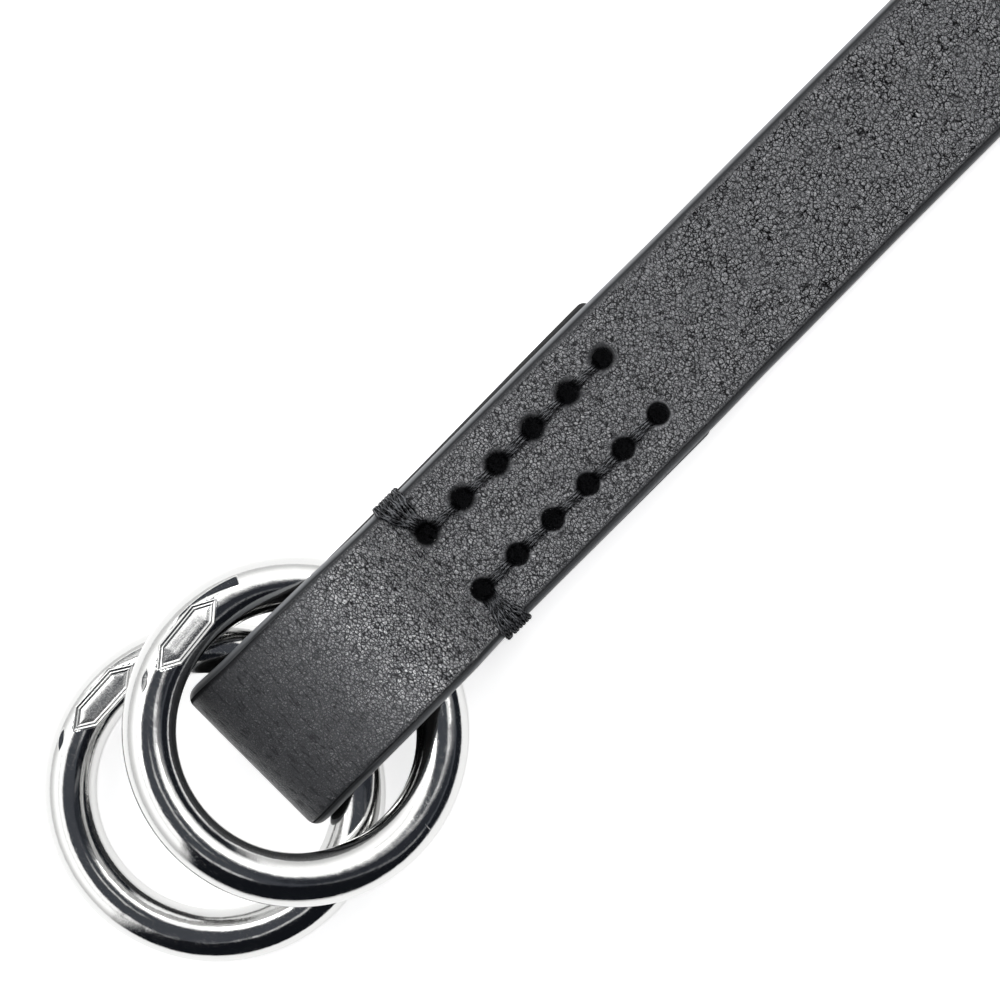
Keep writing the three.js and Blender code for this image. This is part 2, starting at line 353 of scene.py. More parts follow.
# %% Edge paint finish
def edge_paint():
    """Paint grey on the outermost roll, partly wear and partly painted highlight, and painted shade in the
    crease, deepest on the right edge.
    """
    material, tree = new_finish("burnished_edge_paint")
    surface = add(tree, "UVMap", uv_map="surface")
    rim = add(tree, "Attribute", attribute_name="rim").outputs["Fac"]
    side = add(tree, "SeparateXYZ", (surface,)).outputs["Y"]
    waves = add(tree, "TexNoise", {"Vector": surface, "Scale": each(1.6), "Detail": 3.0})
    relief = add(tree, "Bump", {"Height": waves, "Distance": 0.05 * MM, "Strength": 0.5})
    gloss = add(tree, "MapRange", (waves, 0.2, 0.8, 0.36, 0.5), **EASED)
    # Painted shade: the crease beside the outer roll is painted black, more on the right edge than on the
    # left.
    crease_painted_shade = add(tree, "MapRange", (side, -5 * MM, 5 * MM, 0.85, 0.65), **EASED)
    inner = add(tree, "MapRange", (rim, 0.2, 0.85), **EASED)
    inner = add(tree, "Math", (inner, crease_painted_shade), **TIMES)
    # The outer roll's grey is partly wear and partly painted highlight.
    shade = add(tree, "Mix", {0: inner, 6: colour("#6a6c6f"), 7: colour("#0d0d0e")}, **COLOURS)
    glint = add(tree, "Math", (inner, -0.5, 0.5), **TIMES_PLUS)
    look = {"Base Color": shade, "Roughness": gloss, "Specular IOR Level": glint, "Normal": relief}
    add(tree, "OutputMaterial", {"Surface": add(tree, "BsdfPrincipled", look)})
    return material


# %% Flesh side finish
def flesh_side():
    """Dull matted fibres: a rough, fine noise for both the height and the shade."""
    material, tree = new_finish("dyed_flesh_side")
    surface = add(tree, "UVMap", uv_map="surface")
    # Single fibres are too fine to show, so the nap is drawn as tufts half a millimetre wide.
    nap = add(tree, "TexNoise", {"Vector": surface, "Scale": each(0.5), "Detail": 6.0, "Roughness": 0.7})
    relief = add(tree, "Bump", {"Height": nap, "Distance": 0.2 * MM, "Strength": 0.8})
    shade = add(tree, "Mix", {0: nap, 6: colour("#1b1b1c"), 7: colour("#333334")}, **COLOURS)
    look = {"Base Color": shade, "Roughness": 0.92, "Normal": relief}
    add(tree, "OutputMaterial", {"Surface": add(tree, "BsdfPrincipled", look)})
    return material


# %% [markdown]
# ## The strap's side view
# Seen from the side, the strap's grain face is a line of straight runs with rounded corners,
# from the flap's end, round the fold, over the rings and down to the free tip. Its heading
# turns evenly round each corner, so the place at any distance along it is the running sum of
# small steps along that heading. A curve bent by hand could look the same, but this one has
# the true length of the leather and repeats the CAD model's bends. The leather is 3.2 mm
# thick, and the flap is skived thinner at its end, as a maker does to hide it.

# %% Side view of the grain face
THICKNESS = 3.2
SKIVE = {"thickness": 2.0, "length": 16.0}
GAP = 0.3
STACK = 2 * THICKNESS + GAP
FLAP_END_X = 95.9
TIP_X = 200.0
TIP_RADIUS = 15.0
FLAP_CORNER_RADIUS = 1.6
SIDE_VIEW = [
    {"corner": "flap end", "x": FLAP_END_X, "z": 0.0, "radius": 0.0},
    {"corner": "under the fold", "x": 0.0, "z": 0.0, "radius": 7.9},
    {"corner": "over the fold", "x": 0.0, "z": 15.0, "radius": 8.0},
    {"corner": "crest over the rings", "x": 24.5, "z": 20.6, "radius": 22.0},
    {"corner": "shoulder", "x": 39.3, "z": 15.6, "radius": 5.2},
    {"corner": "foot at the lacing", "x": 46.6, "z": STACK, "radius": 3.0},
    {"corner": "skived flap starts", "x": 82.0, "z": STACK, "radius": 60.0},
    {"corner": "step off the flap", "x": 96.5, "z": 5.6, "radius": 24.0},
    {"corner": "down on the surface", "x": 109.0, "z": THICKNESS, "radius": 30.0},
    {"corner": "free tip", "x": TIP_X, "z": THICKNESS, "radius": 0.0},
]


# %% Distance and heading along the side view
def side_view_line(step=0.02):
    """Distance, x, z and heading along the grain face: heading is linear round each arc."""
    corner = np.array([(row["x"], row["z"]) for row in SIDE_VIEW])
    radius = np.array([row["radius"] for row in SIDE_VIEW[1:-1]])
    run = np.diff(corner, axis=0)
    heading = np.unwrap(np.arctan2(run[:, 1], run[:, 0]))
    turn = np.abs(np.diff(heading))
    straight = np.hypot(*run.T)
    straight[:-1] -= radius * np.tan(turn / 2)
    straight[1:] -= radius * np.tan(turn / 2)
    lengths = np.append(np.column_stack([straight[:-1], radius * turn]).ravel(), straight[-1])
    knots = np.append(0.0, np.cumsum(lengths))
    distance = np.linspace(0.0, knots[-1], int(knots[-1] / step) + 1)
    middle = (distance[1:] + distance[:-1]) / 2
    along = np.interp(middle, knots, np.repeat(heading, 2))
    travel = np.diff(distance)
    x = FLAP_END_X + np.append(0.0, np.cumsum(np.cos(along) * travel))
    z = np.append(0.0, np.cumsum(np.sin(along) * travel))
    return distance, x, z, np.interp(distance, knots, np.repeat(heading, 2))


LINE = side_view_line()
LENGTH = LINE[0][-1]
ABOVE = LINE[1].argmin()
print(f"strap length along the grain: {LENGTH:.1f} mm, tip at x {LINE[1][-1]:.2f}")


# %% Places on the side view
def on_line(distance):
    """x, z and heading of the grain face at each distance from the flap's end."""
    return [np.interp(distance, LINE[0], column) for column in LINE[1:]]


def distance_at(x):
    """Distance from the flap's end of the upper layer's point above x."""
    return np.interp(x, LINE[1][ABOVE:], LINE[0][ABOVE:])


# %% [markdown]
# ## The strap's grid
# The grain face is a grid: stations along the strap and columns across it. The holes could be
# cut by a Boolean modifier, but that leaves long thin faces that shade badly round them. Here
# the grid itself gathers at the holes, in steps that give each hole's rim 24 even points, and
# the columns gather again at the painted rim. Further off, the steps are as wide as the shape
# allows.

# %% Holes, rim and widths
HOLE_RADIUS = 1.75
HOLE_ROWS = np.array([-7.0, 6.4])
HOLE_X = 48.4 + 8.46 * np.arange(6)
AROUND_HOLE = np.array([0.0, 0.47, 1.01, HOLE_RADIUS, 1.87, 2.05, 2.4, 3.1])
RIM_STEPS = np.array([0.0, 0.05, 0.14, 0.28, 0.45, 0.65, 0.85, 1.0, 1.12, 1.24, 1.4, 1.65, 2.05])
SPACING = 0.85
FULL_HALF_WIDTH = 14.6
WIDTHS = [
    {"place": "flap end", "at": 0, "left": 15.9, "right": 15.7},
    {"place": "flap middle", "at": 50, "left": 15.4, "right": 15.6},
    {"place": "before the fold", "at": 90, "left": 15.6, "right": 15.6},
    {"place": "fold, with flared ears", "at": 106, "left": 15.8, "right": 15.75},
    {"place": "behind the fold", "at": 117, "left": 15.4, "right": 15.5},
    {"place": "over the rings", "at": 134, "left": 15.1, "right": 15.4},
    {"place": "ramp", "at": 147, "left": 14.8, "right": 15.5},
    {"place": "lacing", "at": 160, "left": 15.0, "right": 15.5},
    {"place": "flap end below", "at": 208, "left": 14.95, "right": 15.35},
    {"place": "on the surface", "at": 223, "left": 14.9, "right": 15.2},
    {"place": "free part", "at": 256, "left": 15.0, "right": 15.0},
    {"place": "past the tip", "at": 400, "left": 15.0, "right": 15.0},
]


# %% Stations and columns
def filled(marks, spacing):
    """Sorted marks, with even steps added in every gap wider than the spacing."""
    marks = np.unique(np.round(marks, 6))
    steps = [max(1, round(gap / spacing)) for gap in np.diff(marks)]
    gaps = [np.linspace(a, b, n, endpoint=False) for a, b, n in zip(marks, marks[1:], steps)]
    return np.append(np.concatenate(gaps), marks[-1])


HOLE_AT = np.concatenate([FLAP_END_X - HOLE_X, distance_at(HOLE_X)])
near_holes = (HOLE_AT[:, None] + np.append(-AROUND_HOLE, AROUND_HOLE)).ravel()
round_tip = LENGTH - TIP_RADIUS * (1 - np.sin(np.radians(np.linspace(0, 88, 30))))
STATIONS = filled(np.concatenate([RIM_STEPS, near_holes, round_tip]), SPACING)
in_rows = (HOLE_ROWS[:, None] + np.append(-AROUND_HOLE, AROUND_HOLE)).ravel()
MIDDLE = filled(np.concatenate([in_rows, [-12.5, 12.5]]), SPACING)
print(f"{len(STATIONS)} stations, {len(MIDDLE) + 2 * len(RIM_STEPS)} columns")

# %% [markdown]
# ## Outline and holes
# The half widths come from a table of places along the strap, because hand-cut and pulled
# leather is never quite even. Round each hole the grid's squares are drawn in to circles, so
# the hole's rim is an even ring of points and the grid beyond it stays straight.

# %% Width of the strap
def half_widths(distance, side):
    """Half width from the table, eased from row to row, less what the rounded ends take off."""
    at = np.array([row["at"] for row in WIDTHS], float)
    width = np.array([row[side] for row in WIDTHS])
    k = np.clip(np.searchsorted(at, distance, side="right") - 1, 0, len(at) - 2)
    share = smooth(distance, at[k], at[k + 1])
    half = width[k] + (width[k + 1] - width[k]) * share
    for from_end, radius in ((distance, FLAP_CORNER_RADIUS), (LENGTH - distance, TIP_RADIUS)):
        inside = np.clip(radius - from_end, 0.0, radius)
        half = half - (radius - np.sqrt(radius ** 2 - inside ** 2))
    return np.maximum(half, 0.02)


at_lacing = half_widths(HOLE_AT[6:], "left") + half_widths(HOLE_AT[6:], "right")
print("width at the lacing holes in mm:", at_lacing.round(2))


# %% Round holes
def round_holes(distance, across):
    """Turns the squares of grid lines round each hole into circles of the same half width."""
    du = distance - HOLE_AT[np.abs(distance[..., None] - HOLE_AT).argmin(-1)]
    dv = across - HOLE_ROWS[np.abs(across[..., None] - HOLE_ROWS).argmin(-1)]
    square = np.maximum(np.abs(du), np.abs(dv))
    circle = np.maximum(np.hypot(du, dv), 1e-6)
    pull = (1 - smooth(square, AROUND_HOLE[4], AROUND_HOLE[-1])) * (square / circle - 1)
    return distance + du * pull, across + dv * pull, square


# %% The grid of the strap
def strap_grid():
    """Distance, offset across, distance to the outline and to the nearest hole's centre."""
    left = half_widths(STATIONS, "left")[:, None]
    right = half_widths(STATIONS, "right")[:, None]
    narrow = np.minimum(1.0, np.minimum(left, right) / FULL_HALF_WIDTH)
    across = np.hstack([RIM_STEPS * narrow - right, MIDDLE * narrow, left - RIM_STEPS[::-1] * narrow])
    to_side = np.minimum(left - across, right + across)
    distance = np.broadcast_to(STATIONS[:, None], across.shape)
    past = distance - (LENGTH - TIP_RADIUS)
    to_tip = TIP_RADIUS - np.hypot(np.maximum(past, 0.0), across)
    inset = np.where(past > 0, to_tip, np.minimum(to_side, distance))
    distance, across, to_hole = round_holes(distance, across)
    return distance, across, np.maximum(inset, 0.0), to_hole


# %% [markdown]
# ## Rim, crease and pressed places
# The leather is drawn in at its edge as a rounded rim with a crease pressed beside it, wider
# and deeper on the bend. Each punched hole has a soft lip. The thread sinks a little into the
# leather between the holes, and under the flap it lies in grooves, so the belt still rests
# flat. All of this is one depth below the side-view line, so it is added up in one function.

# %% Sizes of the rim and the grooves
BEND = {"starts": 86.0, "full": 92.0, "ends": 113.0, "straight": 124.0}
RIM = {"width": 0.85, "height": 1.0, "wider_on_bend": 1.35, "higher_on_bend": 1.2}
CREASE = {"from_edge": 1.05, "depth": 0.2, "width": 0.2}
LIP = {"depth": 0.3, "width": 0.12, "reach": 4.0}
GROOVE = {"above": 0.1, "below": 0.85, "from_row": 0.9, "to_row": 1.5}
BAR = {"x": 48.0, "half": 2.9, "margin": 1.1}


def fold_share(distance):
    """1 on the bend of the fold, easing to 0 on the straight leather before and after it."""
    bent = smooth(distance, BEND["starts"], BEND["full"])
    return bent * (1 - smooth(distance, BEND["ends"], BEND["straight"]))


def quarter_round(inset, width, height):
    """Height that a quarter ellipse takes off an edge, at each inset from it."""
    t = np.clip(1 - inset / width, 0.0, 1.0)
    return height * (1 - np.sqrt(1 - t * t))


# %% Places pressed by the thread
def pressed_by_thread(distance, across, x):
    """Depth of the thread's grooves: along each row of holes, and fanned out under the bars."""
    above = distance > HOLE_AT[6] - 10
    row = np.abs(across[..., None] - HOLE_ROWS).min(-1)
    laced = smooth(x, HOLE_X[0] - 1, HOLE_X[0] + 1) * (1 - smooth(x, HOLE_X[-1] - 1, HOLE_X[-1] + 1))
    past_row = np.where(across > 0, across - HOLE_ROWS[1], HOLE_ROWS[0] - across)
    fan = BAR["half"] * smooth(past_row, -2.0, 8.0) + BAR["margin"]
    bar = (1 - smooth(np.abs(x - BAR["x"]), fan - 0.3, fan + 0.5)) * smooth(past_row, -1.0, 0.5)
    in_row = laced * (1 - smooth(row, GROOVE["from_row"], GROOVE["to_row"]))
    depth = np.where(above, GROOVE["above"], GROOVE["below"])
    return depth * np.maximum(in_row, bar * (x > 20)) * smooth(x, 40, 44)


# %% Depth of the grain face
def grain_depth(distance, across, inset, to_hole):
    """How far the grain face is drawn in: rim + crease + hole lips + grooves - a slow unevenness."""
    x = on_line(distance)[0]
    bent = fold_share(distance)
    depth = quarter_round(inset, RIM["width"] + RIM["wider_on_bend"] * bent,
                          RIM["height"] + RIM["higher_on_bend"] * bent)
    off_crease = (inset - CREASE["from_edge"] - RIM["wider_on_bend"] * bent) / CREASE["width"]
    depth = depth + CREASE["depth"] * np.exp(-off_crease ** 2) * (1 - 0.5 * bent)
    lip = LIP["depth"] * np.exp(-(to_hole - HOLE_RADIUS) / LIP["width"])
    depth = depth + np.where(to_hole < LIP["reach"], lip, 0.0)
    waves = np.sin(distance / 3.1 + 1.3 * np.sin(across / 2.7)) + np.sin(across / 1.9 + distance / 4.7)
    uneven = 0.035 * waves * smooth(inset, 1.0, 3.0) * (distance > HOLE_AT[6] - 10)
    return depth + pressed_by_thread(distance, across, x) - uneven


# %% [markdown]
# ## Both faces and the edges
# The flesh side lies one thickness below the grain face. A Solidify modifier would do that for
# a sheet of even thickness, but this one is skived, and its holes have painted walls. So the
# grid's quads inside the holes are left out, and walls join the two faces along the outline
# and round each hole.

# %% Points of both faces
def leather_thickness(distance):
    """Skived thickness: it grows evenly from the flap's end to the full one."""
    share = np.minimum(distance / SKIVE["length"], 1.0)
    return SKIVE["thickness"] + (THICKNESS - SKIVE["thickness"]) * share


def strap_points():
    """Grain and flesh points: the line's point less the depth along its upward normal."""
    distance, across, inset, to_hole = strap_grid()
    x, z, heading = on_line(distance)
    thickness = leather_thickness(distance)
    outer = grain_depth(distance, across, inset, to_hole) * thickness / THICKNESS
    inner = thickness * (1 - quarter_round(inset, 0.7, 0.8) / THICKNESS)
    layers = []
    for depth in (outer, inner):
        layers.append(np.stack([x + np.sin(heading) * depth, across, z - np.cos(heading) * depth], -1))
    return np.array(layers), distance, across, inset, to_hole


# %% Faces of the strap
def outside_holes():
    """True for the grid's quads that lie outside every hole's square."""
    far = np.full(len(RIM_STEPS), 99.0)
    mid_station = (STATIONS[1:] + STATIONS[:-1]) / 2
    columns = np.concatenate([-far, MIDDLE, far])
    mid_column = (columns[1:] + columns[:-1]) / 2
    at_hole = (np.abs(mid_station[:, None] - HOLE_AT) < HOLE_RADIUS).any(1)
    in_row = (np.abs(mid_column[:, None] - HOLE_ROWS) < HOLE_RADIUS).any(1)
    return ~np.logical_and(at_hole[:, None], in_row[None, :]).ravel()


def edge_wall(rows, columns):
    """Quads between the two faces' outlines: each edge point, the next, and both one layer down."""
    i, j = np.arange(rows), np.arange(columns)
    edge = [i * columns, (rows - 1) * columns + j[1:], i[-2::-1] * columns + columns - 1, j[-2:0:-1]]
    edge = np.concatenate(edge)
    after = np.roll(edge, -1)
    under = rows * columns
    return np.stack([edge, edge + under, after + under, after], -1)


# %% Walls of the holes
def hole_walls(rows, columns):
    """Quads between the two faces round each hole: its square of 24 grid points, walked once."""
    reach = 3
    side = np.arange(-reach, reach)
    low, high = np.full(len(side), -reach), np.full(len(side), reach)
    square = [(side, low), (high, side), (-side, high), (low, -side)]
    around = np.concatenate([np.stack(pair, -1) for pair in square])
    at_station = np.abs(STATIONS[:, None] - HOLE_AT).argmin(0)
    at_column = len(RIM_STEPS) + np.abs(MIDDLE[:, None] - HOLE_ROWS).argmin(0)
    centre = (at_station[:, None] * columns + at_column[None, :]).ravel()
    rims = centre[:, None] + (around[:, 0] * columns + around[:, 1])[None, :]
    following = np.roll(rims, -1, axis=1)
    under = rows * columns
    return np.stack([rims, following, following + under, rims + under], -1).reshape(-1, 4)


# %% [markdown]
# How the leather was handled goes into the strap's attributes, from a table of places along
# it: smooth and dark where it is pulled tight over the fold, strongly wrinkled and rubbed
# where it bends down behind the rings, and open and pebbled along the free part. Where it bends
# down behind the rings it faces the light, and the rubbed mark there goes past 1 as painted highlight.

# %% Wear along the strap
WEAR = np.array([
    # x in mm, then worked, cells, rubbed (wear and painted highlight), creased, open_grain and faded, in
    # the order of MARKS.
    (-5, 0.5, 0.2, 0.08, 0.9, 0.0, 0.26),
    (2, 0.5, 0.2, 0.06, 0.9, 0.0, 0.16),
    (6, 0.5, 0.2, 0.06, 0.8, 0.0, 0.11),
    (14, 0.6, 0.35, 0.12, 0.7, 0.0, 0.27),
    (20, 0.65, 0.5, 0.22, 0.6, 0.0, 0.46),
    (26, 0.8, 0.6, 0.65, 0.6, 0.1, 0.75),
    (32, 1.0, 0.78, 1.4, 0.4, 0.3, 1.0),
    (37, 1.0, 0.74, 1.0, 1.0, 0.35, 1.0),
    (46, 1.0, 0.74, 0.85, 1.0, 0.4, 1.0),
    (52, 0.9, 0.8, 0.75, 0.3, 0.65, 1.0),
    (90, 0.95, 0.7, 0.65, 0.1, 0.9, 0.95),
    (120, 1.0, 0.6, 0.65, 0.0, 1.0, 0.95),
])


def wear_marks(x):
    """Each mark at each x, straight between the table's rows."""
    return {mark: np.interp(x, WEAR[:, 0], WEAR[:, k]) for k, mark in enumerate(MARKS, 1)}


# %% The strap
PAINT_WIDTH = 1.1


def make_strap():
    """Both faces' points in one list, with the grain, flesh, edge and hole quads between them."""
    layers, distance, across, inset, to_hole = strap_points()
    rows, columns = distance.shape
    grain = grid(rows, columns)[outside_holes()]
    flesh = grain[:, ::-1] + rows * columns
    walls = np.concatenate([edge_wall(rows, columns), hole_walls(rows, columns)])
    painted = inset.ravel()[grain].mean(1) < PAINT_WIDTH
    material = np.concatenate([np.where(painted, 1, 0), np.full(len(flesh), 2), np.full(len(walls), 1)])
    used, quads = np.unique(np.concatenate([grain, flesh, walls]), return_inverse=True)
    x = np.tile(on_line(distance)[0].ravel(), 2)[used]
    marks = wear_marks(x)
    marks["rim"] = np.tile(np.minimum(inset, to_hole - 0.75).ravel(), 2)[used]
    uv = np.tile(np.stack([distance, across], -1).reshape(-1, 2), (2, 1))[used]
    finishes = [grain_leather(), edge_paint(), flesh_side()]
    points = layers.reshape(-1, 3)[used]
    piece = make_piece("strap_leather", points, [quads.reshape(-1, 4)], "strap",
                       finishes, material, uv, marks)
    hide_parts("strap")


make_strap()

# %% [markdown]
# ## Plated rings
# Each ring is cast zinc alloy, polished and chrome plated: a mirror that shows the studio as
# bright and dark bands, dulled here and there by wear. Thin streaks of stretched noise,
# turned several ways, are hairline scratches, and a fine haze of dents makes the borders of
# the bands ragged. The attribute "satin" marks the badges' bare field, which is blasted.
#
# Polishing also left two flats on the wire beside each badge: a long wedge past one tip and a
# small dint past the other. They are a fraction of a millimetre deep and show only by what
# they mirror, so they are part of the finish. Two attributes place them, in millimetres:
# "along" runs round the ring from the badge, "beyond" outward from the wire's middle.

# %% Flats beside the badge
RING_RADIUS = 24.75
WIRE_RADIUS = 4.5
WEDGE = {"start": -2.0, "widens": 4.4, "end": 12.1, "outer": 2.75, "inner": (2.35, 1.15)}
WEDGE_CUT = {"slant": -0.3, "along": 11.48}
DINT = {"along": -9.6, "beyond": 2.35, "half_length": 1.9, "half_width": 0.55, "lean": 0.14}
SOFT = 0.06


def wedge_share(tree, along, beyond):
    """1 on the wedge: the product of its inner, outer and slanted end borders and its soft start."""
    inner = add(tree, "MapRange", (along, WEDGE["widens"], WEDGE["end"], *WEDGE["inner"]))
    past_inner = add(tree, "Math", (beyond, inner), **LESS)
    slanted = add(tree, "Math", (beyond, WEDGE_CUT["slant"], along), **TIMES_PLUS)
    outer, cut = WEDGE["outer"], WEDGE_CUT["along"]
    wedge = 1.0
    for value, *borders in ((past_inner, -SOFT, SOFT), (beyond, outer - SOFT, outer + SOFT, 1.0, 0.0),
                            (slanted, cut - SOFT, cut + SOFT, 1.0, 0.0),
                            (along, WEDGE["start"], WEDGE["widens"])):
        border = add(tree, "MapRange", (value, *borders), **EASED)
        wedge = add(tree, "Math", (wedge, border), **TIMES)
    return wedge


def dint_share(tree, along, beyond):
    """1 on the dint, a leaf with pointed ends: u^2 + |v| < 1, with u along it and v across it."""
    away = add(tree, "Math", (along, DINT["along"]), **LESS)
    middle = add(tree, "Math", (away, DINT["lean"], DINT["beyond"]), **TIMES_PLUS)
    off_middle = add(tree, "Math", (beyond, middle), **LESS)
    across = add(tree, "Math", (off_middle, 1 / DINT["half_width"]), **TIMES)
    across = add(tree, "Math", (across,), operation="ABSOLUTE")
    length = add(tree, "Math", (away, 1 / DINT["half_length"]), **TIMES)
    reach = add(tree, "Math", (length, length, across), **TIMES_PLUS)
    return add(tree, "MapRange", (reach, 0.7, 1.0, 1.0, 0.0), **EASED)


# %% Relief of the flats
MICROMETRES = 1000
LEVELLING = 1.5


def flats_relief(tree):
    """Height in micrometres that levels the round wire: c b^2 / 2r, tilted along the ring.

    b is the distance beyond the wire's middle and r the wire's radius. c is the levelling: 1
    gives a flat, and more leaves it a little hollow.
    """
    along = add(tree, "Attribute", attribute_name="along").outputs["Fac"]
    beyond = add(tree, "Attribute", attribute_name="beyond").outputs["Fac"]
    wedge = wedge_share(tree, along, beyond)
    flats = add(tree, "Math", (wedge, dint_share(tree, along, beyond)), operation="MAXIMUM")
    squared = add(tree, "Math", (beyond, beyond), **TIMES)
    levelled = add(tree, "Math", (squared, LEVELLING * MICROMETRES / (2 * WIRE_RADIUS)), **TIMES)
    tilt = add(tree, "MapRange", (along, 4.0, 12.0, -480.0, 480.0))
    height = add(tree, "Math", (levelled, tilt), operation="ADD")
    return add(tree, "Math", (height, flats), **TIMES)


# %% Chrome finish
def worn_chrome():
    """Chrome mirror: micrometres of relief, and roughness from specks, hairlines and satin."""
    material, tree = new_finish("polished_chrome_plate")
    place = add(tree, "TexCoord").outputs["Object"]
    # Real hairlines are about 0.01 mm wide and would not show. They are drawn 0.07 mm wide.
    hairlines = 0.0
    for turn, length in ((0.4, 3.0), (1.5, 2.2), (2.5, 4.0)):
        streak = {"Rotation": (0.3 * turn, 0.2, turn), "Scale": (each(0.07), each(length), each(0.5))}
        turned = add(tree, "Mapping", {"Vector": place, **streak})
        hairs = add(tree, "TexNoise", {"Vector": turned, "Scale": 1.0, "Detail": 2.0})
        hairs = add(tree, "MapRange", (hairs, 0.63, 0.74), **EASED)
        hairlines = add(tree, "Math", (hairs, hairlines), operation="ADD")
    wear = add(tree, "TexNoise", {"Vector": place, "Scale": each(5.0), "Detail": 4.0})
    wear = add(tree, "MapRange", (wear, 0.3, 0.7), **EASED)
    hairlines = add(tree, "Math", (hairlines, wear), **TIMES)
    haze = add(tree, "TexNoise", {"Vector": place, "Scale": each(0.22), "Detail": 3.0})
    swell = add(tree, "TexNoise", {"Vector": place, "Scale": each(3.5), "Detail": 1.0})

    # Heights in micrometres: flats, soft casting swells, the haze of fine dents, the hairlines.
    relief = flats_relief(tree)
    for height, depth in ((swell, 45.0), (haze, 9.0), (hairlines, -1.5)):
        relief = add(tree, "Math", (height, depth, relief), **TIMES_PLUS)
    relief = add(tree, "Bump", {"Height": relief, "Distance": 0.001 * MM, "Strength": 1.0})
    specks = add(tree, "MapRange", (haze, 0.54, 0.7), **EASED)
    dulled = add(tree, "Math", (specks, 0.9, hairlines), **TIMES_PLUS)
    gloss = add(tree, "MapRange", (dulled, 0.0, 1.0, 0.05, 0.24))
    satin = add(tree, "Attribute", attribute_name="satin").outputs["Fac"]
    gloss = add(tree, "Math", (satin, 0.2, gloss), **TIMES_PLUS)
    look = {"Base Color": colour("#cdcdcc"), "Metallic": 1.0, "Roughness": gloss, "Normal": relief}
    add(tree, "OutputMaterial", {"Surface": add(tree, "BsdfPrincipled", look)})
    return material


# %% [markdown]
# ## Ring shapes
# A ring is a torus: a point at angle t round the ring and f round the wire. Blender has a
# torus of its own, but this one has closer rows at the badge and carries attributes. Where the
# badge sits on it, the torus is held down, and a raised six-sided plate stands over the place.

# %% The wire
BADGE = {"length": 16.0, "side": 8.6, "width": 5.0, "inward": 0.3, "corner": 0.25}
BADGE_SLOPE = np.arctan2(BADGE["width"], BADGE["length"] - BADGE["side"])
HELD_DOWN = {"inside": 0.3, "to": 4.0}
WIRE_STEPS = {"by_badge": 220, "the_rest": 300, "round_wire": 72}


def badge_inset(along, across):
    """Distance inside the badge's outline: the least of its long and its slanting sides."""
    long_side = BADGE["width"] / 2 - np.abs(across)
    to_tip = BADGE["length"] / 2 - np.abs(along)
    slant = to_tip * np.sin(BADGE_SLOPE) - np.abs(across) * np.cos(BADGE_SLOPE)
    return np.minimum(long_side, slant)


def wire_surface():
    """Torus with its badge at +X, rows closer there; also each point's place for the flats."""
    near = np.radians(25)
    by_badge = np.linspace(-near, near, WIRE_STEPS["by_badge"], endpoint=False)
    the_rest = np.linspace(near, 2 * np.pi - near, WIRE_STEPS["the_rest"], endpoint=False)
    turn = np.concatenate([by_badge, the_rest])[:, None]
    round_wire = np.linspace(0, 2 * np.pi, WIRE_STEPS["round_wire"], endpoint=False)[None, :]
    reach = RING_RADIUS + WIRE_RADIUS * np.cos(round_wire)
    x, y = reach * np.cos(turn), reach * np.sin(turn)
    z = WIRE_RADIUS * np.sin(round_wire) + 0 * turn
    inside = badge_inset(y, x - RING_RADIUS + BADGE["inward"])
    under_badge = (inside > HELD_DOWN["inside"]) & (z > 0)
    z = np.where(under_badge, np.minimum(z, HELD_DOWN["to"]), z)
    points = np.stack([x, y, z], -1).reshape(-1, 3)
    along = RING_RADIUS * (0 * reach + (np.pi - turn) % (2 * np.pi) - np.pi)
    beyond = np.where(z > -0.01, reach - RING_RADIUS, 0.0)
    return points, grid(*z.shape, around_rows=True, around_columns=True), along.ravel(), beyond.ravel()


# %% [markdown]
# The badge was cast in one with the wire, its border cut as two fine ridges round a bare
# field. Its section is a table of insets from the outline with heights. Carried round the
# outline, that section gives the whole plate, with true rounded corners at every inset.

# %% The badge
BADGE_SECTION = np.array([
    (2.45, 2.7), (0.0, 2.8), (0.0, 3.6), (0.015, 4.28), (0.05, 4.41), (0.12, 4.5), (0.22, 4.53),
    (0.33, 4.51), (0.41, 4.43), (0.46, 4.34), (0.54, 4.31), (0.62, 4.34), (0.68, 4.4), (0.76, 4.42),
    (0.84, 4.39), (0.9, 4.3), (0.96, 4.22), (1.1, 4.24), (1.35, 4.31), (1.65, 4.37), (2.05, 4.41),
    (2.45, 4.42),
])
FIELD_INSET = 1.0
CORNER_POINTS = 7
SHARPEST = 0.004
print(f"badge: its ends slope {np.degrees(BADGE_SLOPE):.1f} degrees from its long sides")


